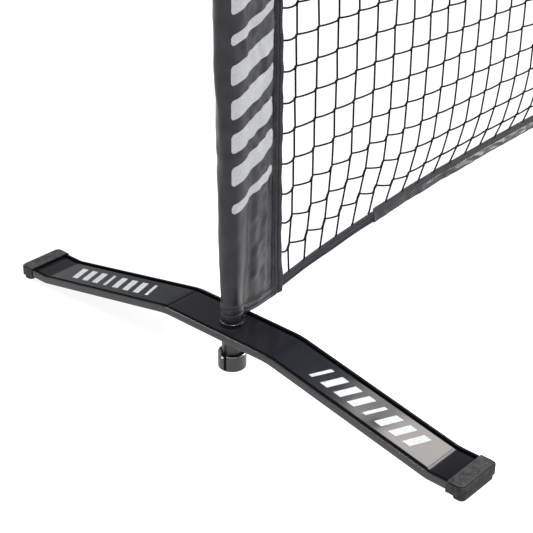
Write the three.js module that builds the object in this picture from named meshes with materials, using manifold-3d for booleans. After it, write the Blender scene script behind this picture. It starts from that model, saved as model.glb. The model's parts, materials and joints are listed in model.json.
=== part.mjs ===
// Portable court net on two arched feet. Millimetres, +Z up, the floor at Z = 0.
// X runs along the net, Y runs along the feet. The origin is on the floor under the middle of the net.
// Each end of the net is the same assembly, drawn once with its post on the Z axis and the net
// leaving along +X, and placed at both ends, the second one turned half a turn.

import * as THREE from 'three';
import { mergeVertices } from 'three/addons/utils/BufferGeometryUtils.js';
import Module from 'manifold-3d';

const wasm = await Module();
wasm.setup();

// Driving dimensions.
const GAP = 0.3;                     // between neighbours that touch
const MESH_PITCH = 44.45;            // square netting, 1 3/4 inch
const MESH_COLUMNS = 64;             // knots along the net
const FIRST_COLUMN = 126;            // first knot, from the post's axis
const NET_TOP = 914;                 // 36 inches
const HALF_SPAN = FIRST_COLUMN + (MESH_COLUMNS - 1) * MESH_PITCH / 2;

const POST_R = 12.7;
const POST_WALL = 1.5;
const POST_BOTTOM = 8.5;
const POST_TOP = 884;

const BAR_AXIS_Z = 897.2;            // the top bar, inside the band
const BAR_R = 11;
const BAR_WALL = 1.3;
const BAR_START = 14;                // from the post's axis
const BAR_JOINT = 470;               // from the middle of the net
const SPIGOT_R = 9.4;
const SPIGOT_LENGTH = 60;

const FOOT_LENGTH = 850;             // over the end caps
const FOOT_WIDTH = 75;
const FOOT_HEIGHT = 74.5;            // top of the rails beside the post
const FOOT_END_HEIGHT = 20.5;        // top of the rails at the end caps
const FOOT_THICK = 11.5;
const CREST_HALF = 98;               // half of the level stretch through the post
const ARM_END = 368;                 // where an arm turns level again
const BAR_END = 418.5;               // end of the metal, inside the cap
const BEND_R = 30;
const RAIL_WIDTH = 5.2;
const GROOVE_WIDTH = 3;
const WEB_DROP = 2.5;                // web top, below the rails' top
const WEB_THICK = 3.5;
const GROOVE_DROP = 4.4;

const PANEL_HALF_WIDTH = 28;
const PANEL_THICK = 0.8;

const CAP_HALF_WIDTH = 39.2;
const CAP_DEPTH = 26;
const CAP_TOP = 22.8;
const CAP_CORNER_R = 8;
const SHOE_HALF_WIDTH = 35.5;
const SHOE_DEPTH = 18;
const SHOE_CORNER_R = 7;

const SOCKET_R = 15;
const SOCKET_BORE_R = 13.2;
const SOCKET_BOTTOM = 3.8;
const SOCKET_TOP = 76.5;
const HUB_RING_R = 18;
const HUB_RING_TOP = 77.5;
const HUB_RING_BEVEL = 0.8;
const RETAINER_R = 19;
const RETAINER_HEIGHT = 3;

const COLLAR_R = 20.5;
const COLLAR_BORE_R = 18;
const COLLAR_BOTTOM = 0.5;
const COLLAR_FLOOR = 3;
const COLLAR_TOP = 25.5;
const COLLAR_BEVEL = 0.8;
const TAB_R = 21.6;
const TAB_TOP = 26.5;
const LUG_TOP = 35.5;
const TAB_ANGLES = [164, 189];       // degrees about Z, with the outward direction at 180
const LUG_ANGLES = [164, 177];
const WINDOW_ANGLES = [160.5, 198];
const STUD_ANGLE = 184;
const STUD_Z = 24;
const STUD_R = 2;

const SLEEVE_R = 17;
const SLEEVE_BORE_R = 13.6;
const SLEEVE_BOTTOM = 84;
const SLEEVE_TOP = 846;
const FLAP_THICK = 3;
const FLAP_SEAM_X = 26;
const FLAP_BOTTOM = 75.5;            // just above the foot's rails
const BINDING_X = [85, 103];
const BINDING_THICK = 4.4;

const BAND_R = 16.8;
const BAND_BORE_R = 14.4;
const BAND_BOTTOM = 864;
const BAND_START = 54;               // from the post's axis
const NET_THICK = 3;
const STRAP_HEIGHT = 19.5;
const STRAP_THICK = 2.4;
const HEM_HEIGHT = 24;
const HEM_THICK = 4;
const HEM_START = 318;               // from the post's axis
const HEM_RISE = 57;                 // how far the hem climbs towards the middle
const HEM_LOW = 104;                 // hem's top edge at the binding
const HEM_REACH = 260;

const ELBOW_R = 15.5;
const ELBOW_BOTTOM = 850;
const ELBOW_LENGTH = 50;

const BUTTON_R = 3;                  // the snap button between a post and its elbow
const BUTTON_Z = 866;
const BUTTON_BACK = 9;               // its inner end, from the post's axis
const BUTTON_LENGTH = 9.2;
const BAR_BUTTON_R = 2.5;            // the snap buttons that join the bar's sections
const BAR_BUTTON_X = 500;
const BAR_BUTTON_BACK = 6;
const BAR_BUTTON_LENGTH = 6.8;
const LEAF_THICK = 0.8;              // the folded leaf behind each button
const LEAF_LENGTH = 22;
const LEAF_TAIL = 16;

const COLOURS = {
  satin_black: { color: 0x1c1d20, roughness: 0.4, metalness: 0.5 },
  gloss_black: { color: 0x26282c, roughness: 0.12, metalness: 0 },
  rubber: { color: 0x3a3b3e, roughness: 0.85, metalness: 0 },
  moulding: { color: 0x2c2d31, roughness: 0.5, metalness: 0 },
  coated_cloth: { color: 0x26272b, roughness: 0.5, metalness: 0 },
  webbing: { color: 0x1b1c22, roughness: 0.8, metalness: 0 },
  netting: { color: 0x1e202c, roughness: 0.85, metalness: 0 },
  white_band: { color: 0xe8e8e4, roughness: 0.6, metalness: 0 },
  steel: { color: 0xc4c6ca, roughness: 0.25, metalness: 1 },
};

// Helpers.
function solid(geometry) {
  let plain = geometry.clone();
  plain.deleteAttribute('normal');
  plain.deleteAttribute('uv');
  plain = mergeVertices(plain, 1e-4);
  return new wasm.Manifold(new wasm.Mesh({
    numProp: 3,
    vertProperties: new Float32Array(plain.attributes.position.array),
    triVerts: new Uint32Array(plain.index.array),
  }));
}

function geometryOf(body) {
  const faces = body.getMesh();
  const geometry = new THREE.BufferGeometry();
  geometry.setAttribute('position', new THREE.BufferAttribute(faces.vertProperties, 3));
  geometry.setIndex(new THREE.BufferAttribute(faces.triVerts, 1));
  geometry.computeVertexNormals();
  return geometry;
}

function cut(base, ...tools) {
  return geometryOf(tools.reduce((body, tool) => body.subtract(solid(tool)), solid(base)));
}

function join(...pieces) {
  return geometryOf(pieces.slice(1).reduce((body, piece) => body.add(solid(piece)), solid(pieces[0])));
}

function node(name, geometry, look) {
  const mesh = new THREE.Mesh(geometry, new THREE.MeshStandardMaterial(COLOURS[look]));
  mesh.name = name;
  return mesh;
}

// A lathe about Z from (radius, height) points. A profile that doesn't touch the axis is closed.
function turned(points, segments = 24) {
  const profile = points.map(([r, z]) => new THREE.Vector2(r, z));
  if (points[0][0] > 0) profile.push(profile[0].clone());
  return new THREE.LatheGeometry(profile, segments).rotateX(Math.PI / 2);
}

function tube(outer, inner, low, high, segments = 24) {
  return turned([[inner, low], [outer, low], [outer, high], [inner, high]], segments);
}

function rod(radius, low, high, segments = 24) {
  return turned([[0, low], [radius, low], [radius, high], [0, high]], segments);
}

function box(low, high) {
  const size = high.map((value, i) => value - low[i]);
  const middle = high.map((value, i) => (value + low[i]) / 2);
  return new THREE.BoxGeometry(...size).translate(...middle);
}

function shapeOf(points) {
  return new THREE.Shape(points.map(([along, up]) => new THREE.Vector2(along, up)));
}

// A shape drawn in (Y, Z) and pushed along X from x0 to x1.
function pushedAlongX(shape, x0, x1, curveSegments = 12) {
  const options = { depth: x1 - x0, bevelEnabled: false, curveSegments };
  const geometry = new THREE.ExtrudeGeometry(shape, options);
  const turn = new THREE.Matrix4().makeBasis(
    new THREE.Vector3(0, 1, 0),
    new THREE.Vector3(0, 0, 1),
    new THREE.Vector3(1, 0, 0),
  );
  return geometry.applyMatrix4(turn).translate(x0, 0, 0);
}

// A shape drawn in (X, Z) and pushed through the thickness, centred on Y = 0.
function pushedAcrossNet(points, thickness) {
  const geometry = new THREE.ExtrudeGeometry(shapeOf(points), { depth: thickness, bevelEnabled: false });
  return geometry.rotateX(Math.PI / 2).translate(0, thickness / 2, 0);
}

// The foot's side line: height of the rails' top at a distance y from the post, with round bends.
const ARM_SLOPE = Math.atan2(FOOT_HEIGHT - FOOT_END_HEIGHT, ARM_END - CREST_HALF);
const BEND_HALF = BEND_R * Math.tan(ARM_SLOPE / 2) * 4;

function railTop(y) {
  const far = Math.abs(y);
  const slope = Math.tan(ARM_SLOPE);
  const soften = (distance) => {
    if (distance <= -BEND_HALF) return 0;
    if (distance >= BEND_HALF) return distance;
    return (distance + BEND_HALF) ** 2 / (4 * BEND_HALF);
  };
  return FOOT_HEIGHT - slope * soften(far - CREST_HALF) + slope * soften(far - ARM_END);
}

function footStations(from, to) {
  const bendSteps = 5;
  const stations = new Set([from, to]);
  for (const centre of [-ARM_END, -CREST_HALF, CREST_HALF, ARM_END]) {
    for (let i = 0; i <= bendSteps; i += 1) {
      const y = centre + BEND_HALF * (2 * i / bendSteps - 1);
      if (y > from && y < to) stations.add(y);
    }
  }
  return [...stations].sort((a, b) => a - b);
}

// A strip of the foot: everything between two depths below the rails' top.
function footStrip(from, to, upper, lower, x0, x1) {
  const stations = footStations(from, to);
  const bottom = stations.map((y) => [y, railTop(y) - lower]);
  const top = stations.map((y) => [y, railTop(y) - upper]).reverse();
  return pushedAlongX(shapeOf([...bottom, ...top]), x0, x1);
}

// Foot.
function baseBar() {
  const half = FOOT_WIDTH / 2;
  const grooveOuter = half - RAIL_WIDTH;
  const webHalf = grooveOuter - GROOVE_WIDTH;
  const strips = [
    footStrip(-BAR_END, BAR_END, WEB_DROP, WEB_DROP + WEB_THICK, -webHalf, webHalf),
    footStrip(-BAR_END, BAR_END, 0, FOOT_THICK, -half, -grooveOuter),
    footStrip(-BAR_END, BAR_END, 0, FOOT_THICK, grooveOuter, half),
    footStrip(-BAR_END, BAR_END, GROOVE_DROP, WEB_DROP + WEB_THICK, -grooveOuter, -webHalf),
    footStrip(-BAR_END, BAR_END, GROOVE_DROP, WEB_DROP + WEB_THICK, webHalf, grooveOuter),
  ];
  const hole = rod(SOCKET_R + GAP, FOOT_HEIGHT - 20, FOOT_HEIGHT + 10, 40);
  return cut(join(...strips), hole);
}

function armPanel(side) {
  const margin = 4;
  const from = CREST_HALF + margin;
  const to = ARM_END - margin;
  const upper = WEB_DROP - GAP - PANEL_THICK;
  const ends = side < 0 ? [-to, -from] : [from, to];
  return footStrip(...ends, upper, upper + PANEL_THICK, -PANEL_HALF_WIDTH, PANEL_HALF_WIDTH);
}

// A plate from z0 to z1 with two corner radii: the outer one at y0, the inner one at y1.
function roundedPlate(halfWidth, y0, y1, outerR, innerR, z0, z1) {
  const shape = new THREE.Shape();
  shape.absarc(halfWidth - outerR, y0 + outerR, outerR, -Math.PI / 2, 0);
  shape.absarc(halfWidth - innerR, y1 - innerR, innerR, 0, Math.PI / 2);
  shape.absarc(-halfWidth + innerR, y1 - innerR, innerR, Math.PI / 2, Math.PI);
  shape.absarc(-halfWidth + outerR, y0 + outerR, outerR, Math.PI, 1.5 * Math.PI);
  shape.closePath();
  const options = { depth: z1 - z0, bevelEnabled: false, curveSegments: 4 };
  return new THREE.ExtrudeGeometry(shape, options).translate(0, 0, z0);
}

// The end cap grips the bar's end and stands on the floor on its shoe. Drawn for the -Y end.
function endCap(side) {
  const outer = -FOOT_LENGTH / 2;
  const barBottom = FOOT_END_HEIGHT - FOOT_THICK;
  const bevel = 2;
  const inner = outer + CAP_DEPTH;
  const shell = roundedPlate(
    CAP_HALF_WIDTH, outer, inner, CAP_CORNER_R, 1, barBottom - 2, CAP_TOP - bevel);
  const crown = roundedPlate(
    CAP_HALF_WIDTH - bevel, outer + bevel, inner - 1, CAP_CORNER_R - 1, 1, CAP_TOP - bevel - 1, CAP_TOP);
  const shoe = roundedPlate(
    SHOE_HALF_WIDTH, outer + 1, outer + 1 + SHOE_DEPTH, SHOE_CORNER_R, SHOE_CORNER_R, 0, barBottom);
  const slot = box(
    [-FOOT_WIDTH / 2 - GAP, -BAR_END - GAP, barBottom - GAP],
    [FOOT_WIDTH / 2 + GAP, outer + CAP_DEPTH + 5, FOOT_END_HEIGHT + GAP],
  );
  const cap = cut(join(shell, crown, shoe), slot);
  return side < 0 ? cap : cap.rotateZ(Math.PI);
}

// Hub: what the post drops into, with the foot turning about it.
function hubRing() {
  const webTop = FOOT_HEIGHT - WEB_DROP + GAP;
  const bore = SOCKET_R + GAP;
  return turned([
    [bore, webTop],
    [HUB_RING_R, webTop],
    [HUB_RING_R, HUB_RING_TOP - HUB_RING_BEVEL],
    [HUB_RING_R - HUB_RING_BEVEL, HUB_RING_TOP],
    [bore, HUB_RING_TOP],
  ], 32);
}

function retainingRing() {
  const webBottom = FOOT_HEIGHT - WEB_DROP - WEB_THICK - GAP;
  return tube(RETAINER_R, SOCKET_R + GAP, webBottom - RETAINER_HEIGHT, webBottom);
}

// A sector of a ring between two angles in degrees, drawn in plan and raised.
function ringSector(inner, outer, angles, z0, z1) {
  const [from, to] = angles.map((angle) => angle * Math.PI / 180);
  const shape = new THREE.Shape();
  shape.absarc(0, 0, outer, from, to, false);
  shape.absarc(0, 0, inner, to, from, true);
  shape.closePath();
  const options = { depth: z1 - z0, bevelEnabled: false, curveSegments: 4 };
  return new THREE.ExtrudeGeometry(shape, options).translate(0, 0, z0);
}

function lockCollar() {
  const cup = turned([
    [0, COLLAR_BOTTOM],
    [COLLAR_R - COLLAR_BEVEL, COLLAR_BOTTOM],
    [COLLAR_R, COLLAR_BOTTOM + COLLAR_BEVEL],
    [COLLAR_R, COLLAR_TOP - COLLAR_BEVEL],
    [COLLAR_R - COLLAR_BEVEL, COLLAR_TOP],
    [COLLAR_BORE_R, COLLAR_TOP],
    [COLLAR_BORE_R, COLLAR_BOTTOM + COLLAR_FLOOR],
    [0, COLLAR_BOTTOM + COLLAR_FLOOR],
  ], 32);
  const sill = COLLAR_BOTTOM + COLLAR_FLOOR - 1;
  return cut(cup, ringSector(COLLAR_BORE_R - 1, COLLAR_R + 3, WINDOW_ANGLES, sill, COLLAR_TOP + 5));
}

// A sprung tongue in the collar's window, with a taller lug for the finger.
function releaseTab() {
  const low = COLLAR_BOTTOM + COLLAR_FLOOR - 1 + GAP;
  const bore = COLLAR_BORE_R + 0.4;
  return join(
    ringSector(bore, TAB_R, TAB_ANGLES, low, TAB_TOP),
    ringSector(bore, TAB_R, LUG_ANGLES, TAB_TOP - 3, LUG_TOP),
  );
}

function tabStud() {
  const stud = pushButton(STUD_R, STUD_R);
  stud.rotateY(Math.PI / 2).translate(TAB_R + GAP, 0, STUD_Z);
  return stud.rotateZ(STUD_ANGLE * Math.PI / 180);
}

// Post.
function post() {
  const button = rod(BUTTON_R + GAP, 0, 20, 16).rotateY(-Math.PI / 2).translate(-5, 0, BUTTON_Z);
  return cut(tube(POST_R, POST_R - POST_WALL, POST_BOTTOM, POST_TOP), button);
}

function postPlug() {
  const seat = SOCKET_BOTTOM + GAP;
  const spigot = POST_R - POST_WALL - GAP;
  return turned([
    [0, seat],
    [POST_R - 1, seat],
    [POST_R - 0.2, seat + 1],
    [POST_R - 0.2, POST_BOTTOM - GAP],
    [spigot, POST_BOTTOM - GAP],
    [spigot, POST_BOTTOM + 16],
    [spigot - 1.5, POST_BOTTOM + 18],
    [0, POST_BOTTOM + 18],
  ]);
}

function cornerElbow() {
  const upright = rod(ELBOW_R, ELBOW_BOTTOM, BAR_AXIS_Z);
  const arm = rod(ELBOW_R, 0, ELBOW_LENGTH).rotateY(Math.PI / 2).translate(0, 0, BAR_AXIS_Z);
  const knee = new THREE.SphereGeometry(ELBOW_R, 24, 12).translate(0, 0, BAR_AXIS_Z);
  const postBore = rod(POST_R + GAP, ELBOW_BOTTOM - 5, POST_TOP + GAP);
  const barBore = rod(BAR_R + GAP, BAR_START - GAP, ELBOW_LENGTH + 5);
  const button = rod(BUTTON_R + GAP, 0, 20, 16).rotateY(-Math.PI / 2).translate(-5, 0, BUTTON_Z);
  return cut(
    join(upright, arm, knee),
    postBore,
    barBore.rotateY(Math.PI / 2).translate(0, 0, BAR_AXIS_Z),
    button,
  );
}

function pushButton(radius, length) {
  return turned([
    [0, 0],
    [radius, 0],
    [radius, length - radius * 0.8],
    [radius * 0.8, length - radius * 0.35],
    [radius * 0.4, length - radius * 0.08],
    [0, length],
  ], 16);
}

function cornerButton() {
  return pushButton(BUTTON_R, BUTTON_LENGTH).rotateY(-Math.PI / 2).translate(-BUTTON_BACK, 0, BUTTON_Z);
}

// A folded leaf behind the button, inside the post.
function cornerSpring() {
  const back = -BUTTON_BACK + GAP;
  const front = 4;
  const outline = [
    [back, BUTTON_R],
    [back, -LEAF_LENGTH],
    [front, -LEAF_LENGTH],
    [front, LEAF_TAIL - LEAF_LENGTH],
    [front - LEAF_THICK, LEAF_TAIL - LEAF_LENGTH],
    [front - LEAF_THICK, LEAF_THICK - LEAF_LENGTH],
    [back + LEAF_THICK, LEAF_THICK - LEAF_LENGTH],
    [back + LEAF_THICK, BUTTON_R],
  ];
  return pushedAcrossNet(outline, 2 * BUTTON_R - 1).translate(0, 0, BUTTON_Z);
}

// Cloth parts of one end.
function sleeveOutline() {
  const meet = Math.acos(SLEEVE_R / FLAP_SEAM_X);
  const half = FLAP_THICK / 2;
  const shape = new THREE.Shape();
  shape.moveTo(FLAP_SEAM_X, half);
  shape.absarc(0, 0, SLEEVE_R, meet, 2 * Math.PI - meet, false);
  shape.lineTo(FLAP_SEAM_X, -half);
  shape.lineTo(BINDING_X[0] - GAP, -half);
  shape.lineTo(BINDING_X[0] - GAP, half);
  shape.closePath();
  const bore = new THREE.Path();
  bore.absarc(0, 0, SLEEVE_BORE_R, 0, 2 * Math.PI, true);
  shape.holes.push(bore);
  return shape;
}

function postSleeve() {
  const options = { depth: BAND_BOTTOM - GAP - FLAP_BOTTOM, bevelEnabled: false, curveSegments: 20 };
  const cloth = new THREE.ExtrudeGeometry(sleeveOutline(), options).translate(0, 0, FLAP_BOTTOM);
  const belowPocket = box([-30, -30, 0], [FLAP_SEAM_X - 2, 30, SLEEVE_BOTTOM]);
  const abovePocket = box([-30, -30, SLEEVE_TOP], [FLAP_SEAM_X, 30, NET_TOP]);
  return cut(cloth, belowPocket, abovePocket);
}

function edgeBinding() {
  const half = BINDING_THICK / 2;
  return box([BINDING_X[0], -half, FLAP_BOTTOM], [BINDING_X[1], half, BAND_BOTTOM - GAP]);
}

// Top edge of the strap and the hem, at a distance x from the post's axis.
function hemTop(x) {
  return HEM_LOW + HEM_RISE * (1 - Math.exp(-(x - BINDING_X[1]) / HEM_REACH));
}

function spaced(from, to, count) {
  return Array.from({ length: count + 1 }, (_, i) => from + (to - from) * i / count);
}

function bottomStrap() {
  const xs = spaced(BINDING_X[1] + GAP, HEM_START - GAP, 6);
  const top = xs.map((x) => [x, hemTop(x)]);
  const bottom = xs.map((x) => [x, hemTop(x) - STRAP_HEIGHT]);
  return pushedAcrossNet([...bottom, ...top.reverse()], STRAP_THICK);
}

// Middle: netting, hem, band and the bar in the band, about the middle of the net.
function fromMiddle(xs) {
  const right = xs.map((x) => HALF_SPAN - x);
  return [...right.map((x) => -x), ...right.reverse().slice(1)];
}

function hemStations() {
  const near = spaced(HEM_START, HEM_START + 2 * HEM_REACH, 8);
  return [...near, HEM_START + 3 * HEM_REACH, HALF_SPAN];
}

function hemTape() {
  const xs = fromMiddle(hemStations());
  const height = (x) => hemTop(HALF_SPAN - Math.abs(x));
  const bottom = xs.map((x) => [x, height(x) - HEM_HEIGHT]);
  const top = xs.map((x) => [x, height(x)]).reverse();
  return pushedAcrossNet([...bottom, ...top], HEM_THICK);
}

function netMesh() {
  const edge = BINDING_X[1] + GAP;
  const xs = fromMiddle([...spaced(edge, HEM_START, 6), ...hemStations().slice(1)]);
  const bottom = xs.map((x) => [x, hemTop(HALF_SPAN - Math.abs(x)) + GAP]);
  const right = HALF_SPAN - edge;
  return pushedAcrossNet([...bottom, [right, BAND_BOTTOM - GAP], [-right, BAND_BOTTOM - GAP]], NET_THICK);
}

function topBand() {
  const tail = 2;
  const meet = Math.asin(tail / BAND_R);
  const shape = new THREE.Shape();
  shape.moveTo(-tail, BAND_BOTTOM - BAR_AXIS_Z);
  shape.lineTo(tail, BAND_BOTTOM - BAR_AXIS_Z);
  shape.absarc(0, 0, BAND_R, -Math.PI / 2 + meet, 1.5 * Math.PI - meet, false);
  shape.closePath();
  const bore = new THREE.Path();
  bore.absarc(0, 0, BAND_BORE_R, 0, 2 * Math.PI, true);
  shape.holes.push(bore);
  const end = HALF_SPAN - BAND_START;
  return pushedAlongX(shape, -end, end, 18).translate(0, 0, BAR_AXIS_Z);
}

function alongX(geometry) {
  return geometry.rotateY(Math.PI / 2).translate(0, 0, BAR_AXIS_Z);
}

function barButtonHole(x, radius) {
  return rod(radius, 0, 20, 16).rotateX(Math.PI / 2).translate(x, 0, BAR_AXIS_Z);
}

function outerBar(side) {
  const ends = [side * (BAR_JOINT + GAP), side * (HALF_SPAN - BAR_START)].sort((a, b) => a - b);
  const pipe = alongX(tube(BAR_R, BAR_R - BAR_WALL, ...ends, 24));
  return cut(pipe, barButtonHole(side * BAR_BUTTON_X, BAR_BUTTON_R + GAP));
}

function centreBar() {
  const end = BAR_JOINT + SPIGOT_LENGTH;
  const wall = SPIGOT_R - 1.4;
  const pipe = alongX(turned([
    [wall, -end],
    [SPIGOT_R, -end],
    [SPIGOT_R, -BAR_JOINT],
    [BAR_R, -BAR_JOINT + 2],
    [BAR_R, BAR_JOINT - 2],
    [SPIGOT_R, BAR_JOINT],
    [SPIGOT_R, end],
    [wall, end],
  ], 24));
  const holes = [-1, 1].map((side) => barButtonHole(side * BAR_BUTTON_X, BAR_BUTTON_R + GAP));
  return cut(pipe, ...holes);
}

function barButton(side) {
  const button = pushButton(BAR_BUTTON_R, BAR_BUTTON_LENGTH).rotateX(Math.PI / 2);
  return button.translate(side * BAR_BUTTON_X, -BAR_BUTTON_BACK, BAR_AXIS_Z);
}

// The same leaf lying in the bar, with its fold on the side of the bar's end.
function barSpring(side) {
  const half = BAR_BUTTON_R;
  const back = -BAR_BUTTON_BACK + GAP;
  const front = 4;
  const arm = box([-half, back, -half], [LEAF_LENGTH, back + LEAF_THICK, half]);
  const fold = box([LEAF_LENGTH - LEAF_THICK, back, -half], [LEAF_LENGTH, front, half]);
  const leaf = join(arm, fold);
  if (side < 0) leaf.rotateZ(Math.PI).rotateX(Math.PI);
  return leaf.translate(side * BAR_BUTTON_X, 0, BAR_AXIS_Z);
}

// Assembly.
function endAssembly(side) {
  const end = new THREE.Group();
  end.add(
    node(`base_bar_${side}`, baseBar(), 'satin_black'),
    node(`arm_panel_front_${side}`, armPanel(-1), 'gloss_black'),
    node(`arm_panel_rear_${side}`, armPanel(1), 'gloss_black'),
    node(`end_cap_front_${side}`, endCap(-1), 'rubber'),
    node(`end_cap_rear_${side}`, endCap(1), 'rubber'),
    node(`hub_ring_${side}`, hubRing(), 'moulding'),
    node(`retaining_ring_${side}`, retainingRing(), 'moulding'),
    node(`socket_tube_${side}`, tube(SOCKET_R, SOCKET_BORE_R, SOCKET_BOTTOM, SOCKET_TOP, 32), 'satin_black'),
    node(`lock_collar_${side}`, lockCollar(), 'moulding'),
    node(`release_tab_${side}`, releaseTab(), 'moulding'),
    node(`tab_stud_${side}`, tabStud(), 'steel'),
    node(`post_${side}`, post(), 'satin_black'),
    node(`post_plug_${side}`, postPlug(), 'moulding'),
    node(`corner_elbow_${side}`, cornerElbow(), 'moulding'),
    node(`corner_button_${side}`, cornerButton(), 'steel'),
    node(`corner_spring_${side}`, cornerSpring(), 'steel'),
    node(`post_sleeve_${side}`, postSleeve(), 'coated_cloth'),
    node(`edge_binding_${side}`, edgeBinding(), 'coated_cloth'),
    node(`bottom_strap_${side}`, bottomStrap(), 'webbing'),
  );
  return end;
}

const leftEnd = endAssembly('left');
leftEnd.position.x = -HALF_SPAN;

const rightEnd = endAssembly('right');
rightEnd.position.x = HALF_SPAN;
rightEnd.rotation.z = Math.PI;

const middle = new THREE.Group();
middle.add(
  node('net_mesh', netMesh(), 'netting'),
  node('hem_tape', hemTape(), 'webbing'),
  node('top_band', topBand(), 'white_band'),
  node('top_bar_left', outerBar(-1), 'satin_black'),
  node('top_bar_centre', centreBar(), 'satin_black'),
  node('top_bar_right', outerBar(1), 'satin_black'),
  node('bar_button_left', barButton(-1), 'steel'),
  node('bar_button_right', barButton(1), 'steel'),
  node('bar_spring_left', barSpring(-1), 'steel'),
  node('bar_spring_right', barSpring(1), 'steel'),
);

const net = new THREE.Group();
net.add(leftEnd, rightEnd, middle);
export default net;
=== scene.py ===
"""The looks of the portable net: cloth, netting, finishes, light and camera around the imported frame.

Metres, +Z up. The two ends are the same assembly. A piece of an end is drawn in that end's own
coordinates, with the post on the Z axis and the net leaving along +X, and set in place by End.place.
"""

import json
import math

import bmesh
import bpy
import numpy as np
from mathutils import Matrix, Vector


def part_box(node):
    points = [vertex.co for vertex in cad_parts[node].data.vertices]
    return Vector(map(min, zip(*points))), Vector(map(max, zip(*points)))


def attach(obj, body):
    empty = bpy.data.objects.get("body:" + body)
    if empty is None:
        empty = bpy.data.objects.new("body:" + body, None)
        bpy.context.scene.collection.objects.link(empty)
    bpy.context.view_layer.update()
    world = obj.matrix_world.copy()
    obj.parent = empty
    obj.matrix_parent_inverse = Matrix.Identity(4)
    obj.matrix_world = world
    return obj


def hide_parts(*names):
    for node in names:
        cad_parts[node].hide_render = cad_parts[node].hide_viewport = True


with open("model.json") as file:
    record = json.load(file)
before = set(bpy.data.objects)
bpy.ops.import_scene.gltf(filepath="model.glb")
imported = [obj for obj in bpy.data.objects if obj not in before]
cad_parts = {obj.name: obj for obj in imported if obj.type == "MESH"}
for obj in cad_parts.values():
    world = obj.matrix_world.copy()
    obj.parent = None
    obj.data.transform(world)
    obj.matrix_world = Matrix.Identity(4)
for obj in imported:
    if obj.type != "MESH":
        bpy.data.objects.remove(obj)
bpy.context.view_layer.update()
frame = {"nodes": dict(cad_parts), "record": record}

MM = 0.001
PI = math.pi

# ---------------- sizes

BODIES = frame["record"]["behaviour"]["bodies"]


class End:
    """One end of the net: its name, its post's axis and the way to its middle along X."""

    def __init__(self, name, seed):
        low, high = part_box(f"post_{name}")
        self.name = name
        self.seed = seed
        self.axis = (low.x + high.x) / 2
        self.inward = -math.copysign(1, self.axis)

    def place(self, points):
        """Points of this end's own coordinates, in the row frame."""
        placed = np.array(points, float)
        placed[..., 0] = self.axis + self.inward * placed[..., 0]
        placed[..., 1] *= self.inward
        return placed


ENDS = [End("left", 11), End("right", 23)]
LEFT = ENDS[0]
HALF_SPAN = abs(LEFT.axis)
FOOT = Vector((LEFT.axis, 0, 0))
POOL = (LEFT.axis + 0.20, -0.20)  # where the spot lamp aims and the floor's painted pool of light is brightest

post_low, post_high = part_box("post_left")
POST_R = (post_high.x - post_low.x) / 2

foot_low, foot_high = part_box("base_bar_left")
FOOT_HALF = (foot_high.x - foot_low.x) / 2
FOOT_THICK = 11.5 * MM
FOOT_CREST = foot_high.z
FOOT_TIP = foot_low.z + FOOT_THICK
FOOT_REACH = foot_high.y
CREST_HALF = 98 * MM  # half of the level stretch through the post
ARM_END = 368 * MM  # where an arm turns level again
ARM_SLOPE = math.atan2(FOOT_CREST - FOOT_TIP, ARM_END - CREST_HALF)
CREST_BEND = 12 * MM  # half the length of the bend at the crest
TIP_BEND = 4 * MM  # half the length of the tighter bend near the cap
RAIL_WIDTH = 5.2 * MM
GROOVE_WIDTH = 3 * MM
GROOVE_DROP = 4.4 * MM
WEB_DROP = 2.5 * MM
WEB_THICK = 3.5 * MM
SOCKET_HOLE_R = 15.3 * MM

strap_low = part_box("bottom_strap_left")[0]
hem_low, hem_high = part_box("hem_tape")
STRAP_HEIGHT = 19.5 * MM
HEM_HEIGHT = 23.5 * MM
HEM_LOW = strap_low.z + STRAP_HEIGHT  # the hem line's height at the binding
HEM_REACH = 260 * MM
HEM_START = hem_low.x - LEFT.axis  # where the strap turns into the hem
BINDING_OUTER = strap_low.x - LEFT.axis
HEM_RISE = (hem_high.z - HEM_LOW) / (1 - math.exp((BINDING_OUTER - HALF_SPAN) / HEM_REACH))

band_low, band_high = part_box("top_band")
sleeve_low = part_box("post_sleeve_left")[0]
CLOTH_TOP = band_low.z - 0.3 * MM  # where the sleeve and the binding end under the band
SLEEVE_BOTTOM = 84 * MM
SLEEVE_TOP = 846 * MM

PITCH = 44.45 * MM  # square netting
FIRST_COLUMN = 126 * MM  # first knots, from the post's axis
LOWEST_ROW = 151.6 * MM
COLUMNS = round(2 * (HALF_SPAN - FIRST_COLUMN) / PITCH) + 1
ROWS = 16
CORD_R = 1.45 * MM


def rail_top(y):
    """Height of the foot's rails at y, with round bends."""
    away = np.abs(y)

    def soften(distance, half):
        bent = (distance + half) ** 2 / (4 * half)
        return np.where(distance <= -half, 0, np.where(distance >= half, distance, bent))

    fall = soften(away - CREST_HALF, CREST_BEND) - soften(away - ARM_END, TIP_BEND)
    return FOOT_CREST - math.tan(ARM_SLOPE) * fall


def hem_line(x):
    """Height of the netting's lower edge, at x from the post's axis."""
    return HEM_LOW + HEM_RISE * (1 - np.exp(-(x - BINDING_OUTER) / HEM_REACH))


def smooth(value, low, high):
    """0 below low, 1 above high, and a smooth step between."""
    t = np.clip((value - low) / (high - low), 0, 1)
    return t * t * (3 - 2 * t)


def ripples(u, v, seed, count, shortest, longest, lean=PI):
    """A sum of waves of many lengths and directions, about -1 to 1. Lean limits how far they turn from u."""
    rng = np.random.RandomState(seed)
    total = np.zeros(np.broadcast(u, v).shape)
    for _ in range(count):
        length = shortest * (longest / shortest) ** rng.rand()
        angle = (rng.rand() - 0.5) * lean
        phase = rng.rand() * 2 * PI
        along = u * math.cos(angle) + v * math.sin(angle)
        total += np.sin(2 * PI * along / length + phase)
    return total / math.sqrt(count) / 1.4


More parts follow.
